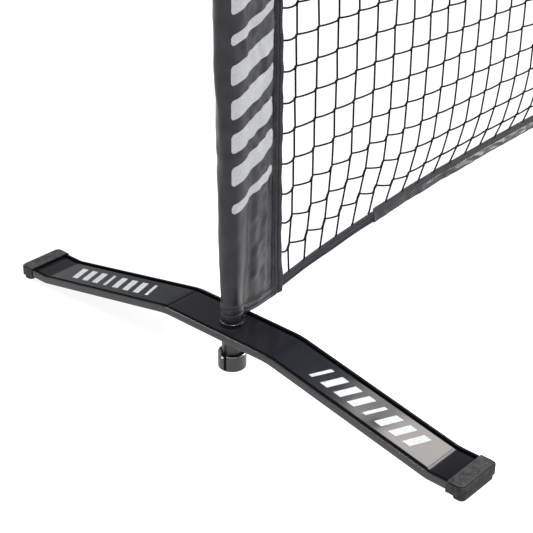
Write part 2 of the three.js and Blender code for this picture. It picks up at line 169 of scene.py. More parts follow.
def surface_normals(points):
    """Unit normals over a grid of points, to the left of its columns seen along its rows."""
    normal = np.cross(np.gradient(points, axis=0), np.gradient(points, axis=1))
    return normal / np.maximum(np.linalg.norm(normal, axis=-1, keepdims=True), 1e-12)


# ---------------- meshes

def body_with(node):
    return next(body for body, nodes in BODIES.items() if node in nodes)


def unit(vectors):
    return vectors / np.linalg.norm(vectors, axis=-1, keepdims=True)


def run_along(path):
    """How far along a path each of its points is."""
    return np.concatenate([[0], np.cumsum(np.linalg.norm(np.diff(path, axis=0), axis=1))])


def linked(name, data):
    """A new object in the scene."""
    made = bpy.data.objects.new(name, data)
    bpy.context.scene.collection.objects.link(made)
    return made


def mesh_from(bm, name):
    """A mesh of what a bmesh holds, which is then freed."""
    mesh = bpy.data.meshes.new(name)
    bm.to_mesh(mesh)
    bm.free()
    return mesh


def add_piece(name, points, faces, slot, body="net_frame", look=None, uv=None, sharp=40):
    """A mesh object that rides on a body, in its slot's look unless another is named. uv holds one pair per
    face corner, in metres of cloth."""
    mesh = bpy.data.meshes.new(name)
    mesh.from_pydata(np.asarray(points, float).tolist(), [], [tuple(face) for face in faces])
    mesh.materials.append(LOOKS[look or slot])
    if uv is not None:
        layer = mesh.uv_layers.new(name="cloth")
        layer.data.foreach_set("uv", np.asarray(uv, np.float32).ravel())
    mesh.shade_smooth()
    mesh.set_sharp_from_angle(angle=math.radians(sharp))
    piece = linked(name, mesh)
    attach(piece, body)
    return piece


def grid_faces(rows, columns, wrap=False, loop=False, start=0):
    """Quads over a grid of points. wrap joins its last column to its first, and loop its last row to its
    first."""
    r, c = np.meshgrid(np.arange(rows - (not loop)), np.arange(columns - (not wrap)), indexing="ij")
    above, after = (r + 1) % rows, (c + 1) % columns
    corners = [r * columns + c, r * columns + after, above * columns + after, above * columns + c]
    return np.stack(corners, -1).reshape(-1, 4) + start


def grid_uv(along, around):
    """Face corners' UVs of grid_faces: around has one more value than the columns where the grid wraps."""
    r, c = np.meshgrid(np.arange(len(along) - 1), np.arange(len(around) - 1), indexing="ij")
    corners = [(r, c), (r, c + 1), (r + 1, c + 1), (r + 1, c)]
    return np.stack([np.stack([around[j], along[i]], -1) for i, j in corners], 2).reshape(-1, 2)


def facing_out(points, faces):
    """The faces, turned over if the closed form they make is inside out."""
    points = np.asarray(points, float)
    volume = sum(np.dot(points[f[0]], np.cross(points[f[i]], points[f[i + 1]]))
                 for f in faces for i in range(1, len(f) - 1))
    return faces if volume > 0 else [tuple(reversed(face)) for face in faces]


def rounded(corners, steps=4):
    """A closed outline with its corners rounded, from (across, up, radius) corners. A point on the flat
    beside each rounded corner keeps the flat even in the shading."""
    outline = []
    for i, (x, z, radius) in enumerate(corners):
        here = np.array((x, z), float)
        before, after = (np.array(corners[j % len(corners)][:2], float) - here for j in (i - 1, i + 1))
        cut = min(radius, 0.35 * np.linalg.norm(before), 0.35 * np.linalg.norm(after))
        if cut <= 0:
            outline.append(here)
            continue
        a, b = here + unit(before) * cut, here + unit(after) * cut
        outline.append(a + (a - here) * 0.35)
        for t in np.linspace(0, 1, steps + 1):
            outline.append((1 - t) ** 2 * a + 2 * t * (1 - t) * here + t * t * b)
        outline.append(b + (b - here) * 0.35)
    return np.array(outline)


def closed_sweep(sections):
    """Points and outward faces of a solid through a row of closed sections, all with as many points."""
    rows, columns = sections.shape[:2]
    faces = [tuple(face) for face in grid_faces(rows, columns, wrap=True)]
    faces.append(tuple(reversed(range(columns))))
    faces.append(tuple(range((rows - 1) * columns, rows * columns)))
    points = sections.reshape(-1, 3)
    return points, facing_out(points, faces)


def sheet_piece(name, points, thickness, slot, along, around, keep=None):
    """A cloth sheet over a grid of points, thickened inwards. keep says which quads are there."""
    faces = grid_faces(*points.shape[:2])[:, ::-1]
    uv = grid_uv(along, around).reshape(-1, 4, 2)[:, ::-1]
    if keep is not None:
        faces, uv = faces[keep.reshape(-1)], uv[keep.reshape(-1)]
    piece = add_piece(f"{name}_cloth", points.reshape(-1, 3), faces, slot, uv=uv, sharp=60)
    thick = piece.modifiers.new("thickness", "SOLIDIFY")
    thick.thickness = thickness
    thick.offset = -1
    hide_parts(name)
    return piece


def strip_piece(name, skins, slot, along, height, end=None):
    """A folded or ribbed strip of cloth between a front and a rear skin, each of the strip's height."""
    sections = np.concatenate([skins[0], skins[1][:, ::-1]], 1)
    points, faces = closed_sweep(sections)
    around = np.linspace(0, 2 * height, sections.shape[1] + 1)
    uv = np.concatenate([grid_uv(along, around), np.zeros((2 * sections.shape[1], 2))])
    piece = add_piece(f"{name}_cloth", end.place(points) if end else points, faces, slot, uv=uv, sharp=60)
    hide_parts(name)
    return piece


def flatten_shading(piece):
    """Lets the wide faces decide the shading, so that flats stay flat beside rounded edges."""
    weighted = piece.modifiers.new("flats", "WEIGHTED_NORMAL")
    weighted.keep_sharp = True
    weighted.weight = 80


def softened(node, slot, width, segments=2, look=None, rim=None):
    """The same piece as a CAD node, with its edges rounded. rim is a look for the faces of its top edge's
    bevel, where bright metal is a painted highlight.
    """
    bm = bmesh.new()
    bm.from_mesh(frame["nodes"][node].data)
    bmesh.ops.remove_doubles(bm, verts=bm.verts, dist=0.002 * MM)
    bmesh.ops.dissolve_limit(bm, angle_limit=math.radians(1), verts=bm.verts, edges=bm.edges)
    edges = [e for e in bm.edges if len(e.link_faces) == 2 and e.calc_face_angle(0) > math.radians(30)]
    bevel = bmesh.ops.bevel(bm, geom=edges, offset=width, segments=segments, profile=0.5, affect="EDGES",
                            clamp_overlap=True)
    # The top edge's bevel faces take the rim look: a painted highlight.
    if rim:
        top = max(v.co.z for v in bm.verts)
        for face in bevel["faces"]:
            face.material_index = int(face.calc_center_median().z > top - width)
    bmesh.ops.recalc_face_normals(bm, faces=bm.faces)
    mesh = mesh_from(bm, f"{node}_fine")
    for name in (look or slot, rim):
        if name:
            mesh.materials.append(LOOKS[name])
    mesh.shade_smooth()
    mesh.set_sharp_from_angle(angle=math.radians(35))
    piece = linked(f"{node}_fine", mesh)
    flatten_shading(piece)
    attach(piece, body_with(node))
    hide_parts(node)


# ---------------- materials

class Graph:
    """A node tree, with short calls for the nodes that the looks and the world share."""

    def __init__(self, tree):
        self.tree = tree

    def feed(self, socket, value):
        if isinstance(value, bpy.types.NodeSocket):
            self.tree.links.new(value, socket)
        else:
            socket.default_value = value

    def node(self, kind, *inputs, **settings):
        """A new node with its first inputs fed."""
        made = self.tree.nodes.new(kind)
        for key, value in settings.items():
            setattr(made, key, value)
        for socket, value in zip(made.inputs, inputs):
            self.feed(socket, value)
        return made

    def axis(self, where, label):
        """One coordinate of where."""
        return self.node("ShaderNodeSeparateXYZ", where).outputs[label]

    def vector(self, operation, a, b):
        return self.node("ShaderNodeVectorMath", a, b, operation=operation).outputs["Value"]

    def math(self, operation, a, b=0.0):
        return self.node("ShaderNodeMath", a, b, operation=operation).outputs[0]

    def blend(self, a, share_a, b, share_b):
        """The sum of a and b, each times its share."""
        return self.math("ADD", self.math("MULTIPLY", a, share_a), self.math("MULTIPLY", b, share_b))

    def spread(self, value, low, high, to_low=0.0, to_high=1.0):
        return self.node("ShaderNodeMapRange", value, low, high, to_low, to_high).outputs["Result"]

    def noise(self, where, scale, detail=3, roughness=0.55):
        made = self.node("ShaderNodeTexNoise", where)
        for label, value in (("Scale", scale), ("Detail", detail), ("Roughness", roughness)):
            made.inputs[label].default_value = value
        return made.outputs["Fac"]


LOOKS = {}  # every material made here, by its name


class Look(Graph):
    """A material, with short calls for its shader's sockets."""

    def __init__(self, name, base, roughness=0.5, **values):
        material = LOOKS[name] = bpy.data.materials.new(name)
        material.use_nodes = True
        super().__init__(material.node_tree)
        self.shader = self.tree.nodes["Principled BSDF"]
        self.shader.inputs["Base Color"].default_value = (*base, 1)
        self.shader.inputs["Roughness"].default_value = roughness
        for label, value in values.items():
            self.shader.inputs[label.replace("_", " ")].default_value = value
        self.normal = None

    def place(self, scale=(1, 1, 1), cloth=False):
        """Coordinates in metres times scale: the object's own, or the cloth's."""
        source = self.node("ShaderNodeUVMap", uv_map="cloth") if cloth else self.node("ShaderNodeTexCoord")
        mapping = self.node("ShaderNodeMapping", source.outputs["UV" if cloth else "Object"])
        mapping.inputs["Scale"].default_value = scale
        return mapping.outputs["Vector"]

    def wave(self, where, axis, per_metre, distortion):
        """An uneven sine across one axis of where, 0 to 1, so many times a metre."""
        turned = self.math("MULTIPLY", self.axis(where, axis), 2 * PI * per_metre)
        turned = self.math("ADD", turned, self.math("MULTIPLY", self.noise(where, 60), distortion))
        return self.spread(self.math("SINE", turned), -1, 1)

    def colour(self, fac, low, high):
        mix = self.node("ShaderNodeMix", fac, data_type="RGBA")
        mix.inputs["A"].default_value = (*low, 1)
        mix.inputs["B"].default_value = (*high, 1)
        self.feed(self.shader.inputs["Base Color"], mix.outputs["Result"])

    def roughness(self, fac, low, high):
        self.feed(self.shader.inputs["Roughness"], self.spread(fac, 0, 1, low, high))

    def bump(self, height, depth, strength):
        made = self.node("ShaderNodeBump")
        made.inputs["Strength"].default_value = strength
        made.inputs["Distance"].default_value = depth
        self.feed(made.inputs["Height"], height)
        if self.normal is not None:
            self.feed(made.inputs["Normal"], self.normal)
        self.normal = made.outputs["Normal"]
        self.feed(self.shader.inputs["Normal"], self.normal)


def finish(name, low, high, patches, fade=None, rough=None, rough_fade=None, stretch=(1, 1, 1), relief=None,
           grains=(), **values):
    """A hard finish. One noise, of the scale, detail and roughness in patches, mixes its two colours and its
    two roughnesses, each over its fade, and stands out by relief. grains are more noises and reliefs."""
    look = Look(name, high, **values)
    pattern = look.noise(look.place(stretch), *patches)
    look.colour(look.spread(pattern, *fade) if fade else pattern, low, high)
    if rough:
        look.roughness(look.spread(pattern, *rough_fade) if rough_fade else pattern, *rough)
    if relief:
        look.bump(pattern, *relief)
    for noise, depth, strength in grains:
        look.bump(look.noise(look.place(), *noise), depth, strength)


def painted(name, base, rough, grain, gloss=0.5):
    finish(name, [c * 0.75 for c in base], [c * 1.35 for c in base], (35, 4), Specular_IOR_Level=gloss,
           rough=(rough * 0.8, rough * 1.25), grains=[((1400, 2), grain, 0.6), ((160, 2), 2 * grain, 0.35)])


def print_ink(name, low, high):
    finish(name, low, high, (260, 5, 0.7), fade=(0.25, 0.6), relief=(0.04 * MM, 0.5), Specular_IOR_Level=0.3)


def bright_metal(name, base, rough):
    finish(name, [c * 0.82 for c in base], base, (2600, 3), fade=(0.3, 0.7), stretch=(1, 1, 0.06),
           rough=(rough * 0.7, rough * 1.4), relief=(0.02 * MM, 0.5), Metallic=1.0)


def woven(name, low, high, roughness, threads, depth, sheen=0.0, gloss=0.5, scuffs=0.0, ribs=None,
          band=None):
    """Coated or plain woven cloth, from its threads per metre each way. ribs is an axis of the cloth, a
    count per metre and a depth. band is the middle and half width of a smooth stretch across u, and its
    roughness."""
    look = Look(name, low, Specular_IOR_Level=gloss, Sheen_Weight=sheen, Sheen_Roughness=0.4)
    where = look.place(cloth=True)
    warp, weft = (look.wave(where, axis, count, 0.7) for axis, count in zip("XY", threads))
    gaps = [look.math("SUBTRACT", 1.0, thread) for thread in (warp, weft)]
    weave = look.math("ADD", look.math("MULTIPLY", warp, weft), look.math("MULTIPLY", *gaps))
    patches = look.noise(where, 45, detail=4)
    tone = look.blend(weave, 0.45, patches, 0.75)
    if ribs:
        ridge = look.wave(where, ribs[0], ribs[1], 0.3)
        tone = look.blend(tone, 0.6, ridge, 0.5)
        look.bump(ridge, ribs[2], 1.0)
    look.colour(look.spread(tone, 0.25, 0.95), low, high)
    rough = look.spread(look.blend(patches, 0.7, weave, 0.3), 0, 1, *roughness)
    if band:
        off = look.math("ABSOLUTE", look.math("SUBTRACT", look.axis(where, "X"), band[0]))
        outside = look.spread(off, band[1] * 0.97, band[1])
        rough = look.blend(rough, outside, look.math("SUBTRACT", 1.0, outside), band[2])
    look.feed(look.shader.inputs["Roughness"], rough)
    look.bump(weave, depth, 0.9)
    if scuffs:
        look.bump(look.noise(where, 130, detail=4), scuffs, 0.5)


def twisted_cord(name, low, high, turns, depth):
    """Laid cord: strands that wind round it. UVs run once round in u, and in metres along v."""
    look = Look(name, low, Specular_IOR_Level=0.12)
    where = look.place(cloth=True)
    wound = look.blend(look.axis(where, "X"), 3, look.axis(where, "Y"), turns)
    strand = look.spread(look.math("SINE", look.math("MULTIPLY", wound, 2 * PI)), -1, 1)
    fuzz = look.noise(look.place(), 900, detail=3)
    look.colour(look.math("MULTIPLY", strand, fuzz), low, high)
    look.roughness(fuzz, 0.65, 0.95)
    look.bump(strand, depth, 0.8)


def floor_look():
    """A light table: it glows and takes hardly any shadow. In front of the sleeve its glow rises into a
    painted pool of light.
    """
    look = Look("floor", (0.16, 0.16, 0.16), Specular_IOR_Level=0.1, Emission_Color=(1, 1, 1, 1))
    look.roughness(look.noise(look.place(), 3), 0.6, 0.8)
    # Painted pool of light: the floor's glow rises from 0.9 to 1.6 near POOL.
    away = look.vector("DISTANCE", look.place(), (*POOL, 0))
    look.feed(look.shader.inputs["Emission Strength"], look.spread(away, 0.1, 0.4, 1.6, 0.9))


painted("foot_paint", (0.007, 0.007, 0.009), 0.13, 0.012 * MM)
painted("rail_paint", (0.004, 0.004, 0.005), 0.8, 0.03 * MM, gloss=0.0)
painted("tube_paint", (0.018, 0.018, 0.020), 0.4, 0.05 * MM)
painted("ring", (0.004, 0.004, 0.005), 0.3, 0.02 * MM)
finish("gloss_panel", (0.004, 0.005, 0.008), (0.010, 0.011, 0.014), (1.2, 5, 0.6), stretch=(14, 3, 14),
       rough=(0.05, 0.16), rough_fade=(0.3, 0.7), grains=[((55, 3), 0.10 * MM, 0.3)])
finish("cap_rubber", (0.008, 0.008, 0.009), (0.040, 0.040, 0.042), (120, 5, 0.7), fade=(0.35, 0.65),
       rough=(0.66, 0.9), grains=[((700, 4, 0.7), 0.15 * MM, 0.8)], Specular_IOR_Level=0.25)
finish("moulding", (0.014, 0.015, 0.016), (0.030, 0.031, 0.033), (90, 4), rough=(0.28, 0.45),
       grains=[((1800, 3), 0.06 * MM, 0.7)])
print_ink("pale_ink", (0.32, 0.33, 0.335), (0.43, 0.44, 0.45))
print_ink("panel_ink", (0.22, 0.23, 0.235), (0.36, 0.37, 0.375))
bright_metal("bright_steel", (0.78, 0.79, 0.80), 0.2)
bright_metal("spring_steel", (0.45, 0.46, 0.48), 0.3)
woven("sleeve_cloth", (0.007, 0.007, 0.009), (0.038, 0.037, 0.044), (0.26, 0.40), (430, 430), 0.13 * MM,
      gloss=0.26, scuffs=0.3 * MM)
woven("binding_cloth", (0.005, 0.005, 0.006), (0.044, 0.044, 0.053), (0.6, 0.8), (400, 700), 0.2 * MM,
      gloss=0.15, sheen=0.03, scuffs=0.3 * MM)
woven("strap_webbing", (0.004, 0.004, 0.005), (0.052, 0.052, 0.063), (0.6, 0.8), (330, 520), 0.15 * MM,
      gloss=0.12, sheen=0.04, ribs=("X", 1 / (3.9 * MM), 0.5 * MM))
woven("hem_cloth", (0.003, 0.003, 0.004), (0.030, 0.030, 0.036), (0.5, 0.7), (620, 620), 0.02 * MM,
      gloss=0.45, scuffs=0.12 * MM, ribs=("Y", 240, 0.05 * MM),
      band=(HEM_HEIGHT, 0.52 * HEM_HEIGHT, 0.2))
woven("band_cloth", [0.34] * 3, [0.46] * 3, (0.45, 0.6), (900, 900), 0.05 * MM, gloss=0.4,
      scuffs=0.15 * MM)
twisted_cord("net_cord", (0.003, 0.0035, 0.008), (0.013, 0.014, 0.026), 230, 0.16 * MM)
twisted_cord("thread", (0.03, 0.03, 0.034), (0.12, 0.12, 0.13), 900, 0.05 * MM)
twisted_cord("white_thread", [0.22] * 3, [0.40] * 3, 900, 0.05 * MM)

# ---------------- camera and light


def aim(yaw, pitch):
    """Unit vector at an angle in degrees from +X towards +Y, and above the horizon."""
    yaw, pitch = math.radians(yaw), math.radians(pitch)
    return Vector((math.cos(yaw) * math.cos(pitch), math.sin(yaw) * math.cos(pitch), math.sin(pitch)))


def make_camera():
    """The photograph's viewpoint, from the left post's foot."""
    yaw, pitch, roll = 41.708, -28.617, math.radians(0.613)
    from_post = Vector((-1198.9, -1132.2, 1061.1)) * MM
    forward = aim(yaw, pitch)
    level = aim(yaw - 90, 0)
    upright = level.cross(forward)
    right = math.cos(roll) * level + math.sin(roll) * upright
    up = math.cos(roll) * upright - math.sin(roll) * level
    data = bpy.data.cameras.new("camera")
    data.sensor_width = 36
    data.lens = 92.05
    data.clip_start = 0.05
    data.clip_end = 200
    camera = linked("camera", data)
    turn = Matrix((right, up, -forward)).transposed().to_4x4()
    camera.matrix_world = Matrix.Translation(FOOT + from_post) @ turn
    bpy.context.scene.camera = camera


def lamp(name, kind, where, power, **settings):
    """A light that the camera doesn't see."""
    data = bpy.data.lights.new(name, kind)
    data.energy = power
    for key, value in settings.items():
        setattr(data, key, value)
    light = linked(name, data)
    light.visible_camera = False
    light.location = where
    return light


def softbox(name, towards, distance, size, power, colour=(1, 1, 1), target=None):
    """A rectangular light at a distance from the target in a direction, facing it."""
    light = lamp(name, "AREA", (target or FOOT) + towards * distance, power, shape="RECTANGLE", size=size[0],
                 size_y=size[1], color=colour)
    light.rotation_mode = "QUATERNION"
    light.rotation_quaternion = (-towards).to_track_quat("-Z", "Y")


def make_world():
    """A white sweep up to 33 degrees, a dim band above it, a light overhead and a round dark screen behind
    the net. Seen directly it is white."""
    world = bpy.data.worlds.new("studio")
    bpy.context.scene.world = world
    world.use_nodes = True
    graph = Graph(world.node_tree)
    background = graph.tree.nodes["Background"]
    around = graph.node("ShaderNodeTexCoord").outputs["Generated"]
    ramp = graph.node("ShaderNodeValToRGB", graph.axis(around, "Z"))
    stops = [(0.0, 0.95), (0.555, 0.95), (0.59, 0.30), (0.80, 0.30), (0.90, 1.5)]
    while len(ramp.color_ramp.elements) < len(stops):
        ramp.color_ramp.elements.new(0.5)
    for element, (height, level) in zip(ramp.color_ramp.elements, stops):
        element.position = height
        element.color = (level, level, level, 1)
    graph.feed(background.inputs["Color"], ramp.outputs[0])
    cosine = graph.vector("DOT_PRODUCT", around, aim(44, 27))
    edge, core = math.cos(math.radians(26)), math.cos(math.radians(16))
    graph.feed(background.inputs["Strength"], graph.spread(cosine, edge, core, 1.0, 0.22))
    seen = graph.node("ShaderNodeBackground", (1, 1, 1, 1))
    by_camera = graph.node("ShaderNodeLightPath").outputs["Is Camera Ray"]
    choose = graph.node("ShaderNodeMixShader", by_camera, background.outputs[0], seen.outputs[0])
    graph.feed(graph.tree.nodes["World Output"].inputs["Surface"], choose.outputs[0])


def make_floor():
    bm = bmesh.new()
    bmesh.ops.create_circle(bm, cap_ends=True, segments=96, radius=60)
    mesh = mesh_from(bm, "floor")
    floor_look()
    mesh.materials.append(LOOKS["floor"])
    linked("floor", mesh)


make_camera()
make_world()
make_floor()
softbox("key", aim(0, 45.5), 3.2, (1.9, 0.75), 34, (1, 0.95, 0.90), FOOT + Vector((0, -0.36, 0)))
softbox("rim", aim(98, 50), 3.2, (1.3, 0.8), 60)
softbox("front", aim(224, 61), 3.4, (0.9, 0.6), 26)
softbox("low", aim(-38.5, 6), 1.5, (0.34, 0.3), 3.5, target=FOOT + Vector((0.62, 0, 0.12)))
softbox("top", aim(math.degrees(0.3), 84), 3.2, (2.4, 2.4), 50)
lamp("floor_pool", "SPOT", (*POOL, 2.6), 900, spot_size=math.radians(13), spot_blend=1.0,
     shadow_soft_size=0.25)
bpy.context.scene.view_settings.view_transform = "Standard"

# ---------------- foot


def base_bar(end):
    """The arched channel bar: two rails with a V along each, two grooves and the web between, bored for the
    socket. The rails are matt up to the V's outer side."""
    half, inner, web = FOOT_HALF, FOOT_HALF - RAIL_WIDTH, FOOT_HALF - RAIL_WIDTH - GROOVE_WIDTH
    soft = 0.6 * MM
    right = [
        (web, -WEB_DROP, soft), (web, -GROOVE_DROP, soft / 2), (inner, -GROOVE_DROP, soft / 2),
        (inner, 0, 0.5 * MM), (inner + 1.7 * MM, 0, 0.3 * MM), (inner + 2.3 * MM, -1.0 * MM, 0.2 * MM),
        (inner + 2.9 * MM, -0.2 * MM, 0.3 * MM), (half, -0.45 * MM, 1.1 * MM), (half, -FOOT_THICK, 1.4 * MM),
        (inner, -FOOT_THICK, 1.0 * MM), (inner, -WEB_DROP - WEB_THICK, 1.2 * MM),
    ]
    outline = rounded(right + [(-x, z, r) for x, z, r in reversed(right)])
    ys = np.linspace(-FOOT_REACH, FOOT_REACH, 300)[:, None]
    shape = np.broadcast_arrays(outline[:, 0], ys, rail_top(ys) + outline[:, 1])
    points, faces = closed_sweep(np.stack(shape, -1))
    bar = add_piece(f"base_bar_{end.name}_fine", end.place(points), faces, "foot_paint", f"foot_{end.name}",
                    sharp=30)
    bar.data.materials.append(LOOKS["rail_paint"])
    for face in bar.data.polygons:
        depth = float(rail_top(face.center.y)) - face.center.z
        matt = web - 0.5 * MM < abs(face.center.x - end.axis) < inner + 2.7 * MM
        face.material_index = int(matt and depth < GROOVE_DROP + 0.1 * MM)
    bore(bar, end, SOCKET_HOLE_R)
    flatten_shading(bar)
    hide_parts(f"base_bar_{end.name}")


def bore(piece, end, radius):
    """Cuts a round upright hole on the post's axis."""
    bm = bmesh.new()
    bmesh.ops.create_cone(bm, cap_ends=True, segments=72, radius1=radius, radius2=radius, depth=0.2)
    cutter = linked("bore", mesh_from(bm, "bore"))
    cutter.location = (end.axis, 0, FOOT_CREST)
    hole = piece.modifiers.new("hole", "BOOLEAN")
    hole.object = cutter
    hole.operation = "DIFFERENCE"
    hole.solver = "EXACT"
    bpy.context.view_layer.update()
    cut = bpy.data.meshes.new_from_object(piece.evaluated_get(bpy.context.evaluated_depsgraph_get()))
    piece.modifiers.clear()
    piece.data = cut
    bpy.data.objects.remove(cutter)


PANEL_HALF = 28 * MM
PANEL_FROM = CREST_HALF + 3 * MM
PANEL_TO = ARM_END - 4 * MM
PANEL_THICK = 0.8 * MM
PANEL_TOP = WEB_DROP - PANEL_THICK - 0.15 * MM


def arm_panel(end, label, side):
    """The glossy inlay on one arm, with round corners and a rounded edge."""
    shares = np.concatenate([[0, 0.001, 0.003], np.linspace(0.005, 0.995, 90), [0.997, 0.999, 1]])
    ys = (PANEL_FROM + (PANEL_TO - PANEL_FROM) * shares)[:, None]
    corner, edge = 1.2 * MM, 0.45 * MM
    inset = np.maximum(0, corner - np.minimum(ys - PANEL_FROM, PANEL_TO - ys))
    half = PANEL_HALF - corner + np.sqrt(np.maximum(corner ** 2 - inset ** 2, 0))
    outline = rounded([(-1, -PANEL_THICK, 0), (1, -PANEL_THICK, 0), (1, 0, edge), (-1, 0, edge)], steps=3)
    whole = np.sign(outline[:, 0])
    shape = (whole * half + outline[:, 0] - whole, side * ys, rail_top(ys) - PANEL_TOP + outline[:, 1])
    points, faces = closed_sweep(np.stack(np.broadcast_arrays(*shape), -1))
    name = f"arm_panel_{label}_{end.name}"
    panel = add_piece(f"{name}_fine", end.place(points), faces, "gloss_panel", f"foot_{end.name}", sharp=50)
    flatten_shading(panel)
    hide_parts(name)


def joined(grids):
    """Points and faces of several thin plates, each a pair of (top, underside) grids."""
    points, faces = [], []
    for top, under in grids:
        rows, columns = top.shape[:2]
        count = rows * columns
        start = sum(len(p) for p in points)
        faces += [tuple(f) for f in grid_faces(rows, columns, start=start)]
        faces += [tuple(reversed(f)) for f in grid_faces(rows, columns, start=start + count)]
        index = np.arange(count).reshape(rows, columns)
        rim = [*index[:, 0], *index[-1, 1:], *index[-2::-1, -1], *index[0, -2:0:-1]]
        for a, b in zip(rim, rim[1:] + rim[:1]):
            faces.append((start + b, start + a, start + count + a, start + count + b))
        points += [top.reshape(-1, 3), under.reshape(-1, 3)]
    return np.concatenate(points), faces


def panel_print(end, label, side):
    """Plain slanted bars printed along the inlay."""
    grids = []
    ink = 0.12 * MM
    x = np.linspace(-0.5, 0.5, 9)[:, None] * 33 * MM + np.zeros(4)
    for i in range(8):
        width = (12 if i % 4 else 6) * MM
        y = PANEL_FROM + (64 + 23 * i) * MM + np.linspace(-0.5, 0.5, 4) * width + 0.35 * x
        top = np.stack([x, side * y, rail_top(y) - PANEL_TOP + ink], -1)
        grids.append((top, top - np.array((0, 0, ink / 2))))
    points, faces = joined(grids)
    add_piece(f"panel_print_{label}_{end.name}", end.place(points), facing_out(points, faces), "gloss_panel",
              f"foot_{end.name}", "panel_ink")


def foot(end):
    base_bar(end)
    for label, side in (("front", -1), ("rear", 1)):
        arm_panel(end, label, side)
        panel_print(end, label, side)
        softened(f"end_cap_{label}_{end.name}", "cap_rubber", 1.5 * MM, segments=3)


# ---------------- hub, post, corner and top bar


def hard_pieces(end):
    """CAD pieces whose shape is right, with their edges rounded."""
    # The moulded lock collar's top edge is bright steel: a painted highlight on the plastic.
    special = {"hub_ring": {"look": "ring"}, "lock_collar": {"rim": "bright_steel"}}
    for node, slot, width in (
        ("hub_ring", "moulding", 0.5), ("retaining_ring", "moulding", 0.4),
        ("socket_tube", "tube_paint", 0.4), ("lock_collar", "moulding", 0.8),
        ("release_tab", "moulding", 0.5), ("tab_stud", "bright_steel", 0.2),
        ("post", "tube_paint", 0.3), ("post_plug", "moulding", 0.4),
        ("corner_elbow", "moulding", 1.0), ("corner_button", "bright_steel", 0.2),
        ("corner_spring", "spring_steel", 0.15),
    ):
        softened(f"{node}_{end.name}", slot, width * MM, **special.get(node, {}))


def top_bar():
    for part in ("left", "centre", "right"):
        softened(f"top_bar_{part}", "tube_paint", 0.3 * MM)
    for part in ("left", "right"):
        softened(f"bar_button_{part}", "bright_steel", 0.2 * MM)
        softened(f"bar_spring_{part}", "spring_steel", 0.15 * MM)


# ---------------- cloth of one end

FLAP_COLUMNS = 30
POCKET_COLUMNS = 72
HEM_DEPTH = 19 * MM  # the sleeve's lower edge is folded up this far
HEM_SEAMS = (7 * MM, 16.5 * MM)
CLOTH_THICK = 0.55 * MM
BINDING_INNER = 81 * MM
FLAP_EDGE = 90 * MM  # the flap ends inside the binding
BINDING_SHAPE = [(76, 106), (90, 107), (146, 102.5), (192, 101),
                 (420, 100), (500, 96), (600, 98), (864, 100)]

SLEEVE_HEIGHT = CLOTH_TOP - sleeve_low.z
SLEEVE_SHARES = np.concatenate([np.arange(0, 40) * 0.5 * MM / SLEEVE_HEIGHT, np.linspace(0.0256, 1, 184)])
SLEEVE_ROWS = len(SLEEVE_SHARES)  # closely spaced rows in the folded edge


def sleeve_row(share):
    """Which row of the sleeve's grid is at a share of its height."""
    return np.interp(share, SLEEVE_SHARES, np.arange(SLEEVE_ROWS))


def flap_bottom(x):
    """Height of the flap's lower edge: level beside the post, rising to the binding."""
    low = sleeve_low.z + 0.3 * MM
    step = (SLEEVE_BOTTOM - low) * (1 - smooth(x, 12 * MM, 26 * MM))
    return low + step + 4.5 * MM * np.clip((x - 30 * MM) / (75 * MM), 0, 1) ** 1.5


def binding_edge(z):
    """The binding's free edge, drawn out a little where each row of netting is tied."""
    heights, reaches = zip(*BINDING_SHAPE)
    pull = 0.7 * MM * np.cos(2 * PI * (z - LOWEST_ROW) / PITCH)
    return np.interp(z, np.array(heights) * MM, np.array(reaches) * MM) + pull


def sleeve_plan(z):
    """The sleeve's plan at height z: the seam, the pocket's far side, its half width, its pinch, how wide it
    stands open at the seam and how far it hangs to the rear. Low down the pocket is a tube of its own,
    higher up it runs into the flap."""
    seam = np.interp(z, [0.084, 0.30, 0.547, 0.70, 0.85], [0.022, 0.022, 0.017, 0.019, 0.022])
    far = -np.interp(z, [0.084, 0.12, 0.20, 0.30, 0.547, 0.70, 0.85],
                     [0.0154, 0.0168, 0.0184, 0.0194, 0.0245, 0.0215, 0.0190])
    wide = np.interp(z, [0.084, 0.16, 0.30, 0.45, 0.85], [0.0184, 0.0200, 0.0196, 0.0182, 0.0190])
    pinch = np.interp(z, [0.084, 0.30, 0.547, 0.85], [1.0, 0.85, 0.55, 0.7])
    gape = np.interp(z, [0.084, 0.11, 0.16, 0.30, 0.45, 0.72, 0.85],
                     [0.0008, 0.003, 0.007, 0.0125, 0.015, 0.015, 0.007])
    hang = 3 * MM * smooth(z, 0.15, 0.50)
    return seam, far, wide, pinch, gape, hang


def sleeve_column(x, z):
    """Which column of the sleeve's grid is at x on its front side."""
    seam, far = sleeve_plan(z)[:2]
    flap = (FLAP_EDGE - x) / (FLAP_EDGE - seam) * FLAP_COLUMNS
    turn = np.arccos(np.clip((x - (seam + far) / 2) / ((seam - far) / 2), -1, 1))
    return np.where(x > seam, flap, FLAP_COLUMNS + turn / (2 * PI) * (POCKET_COLUMNS - 1))


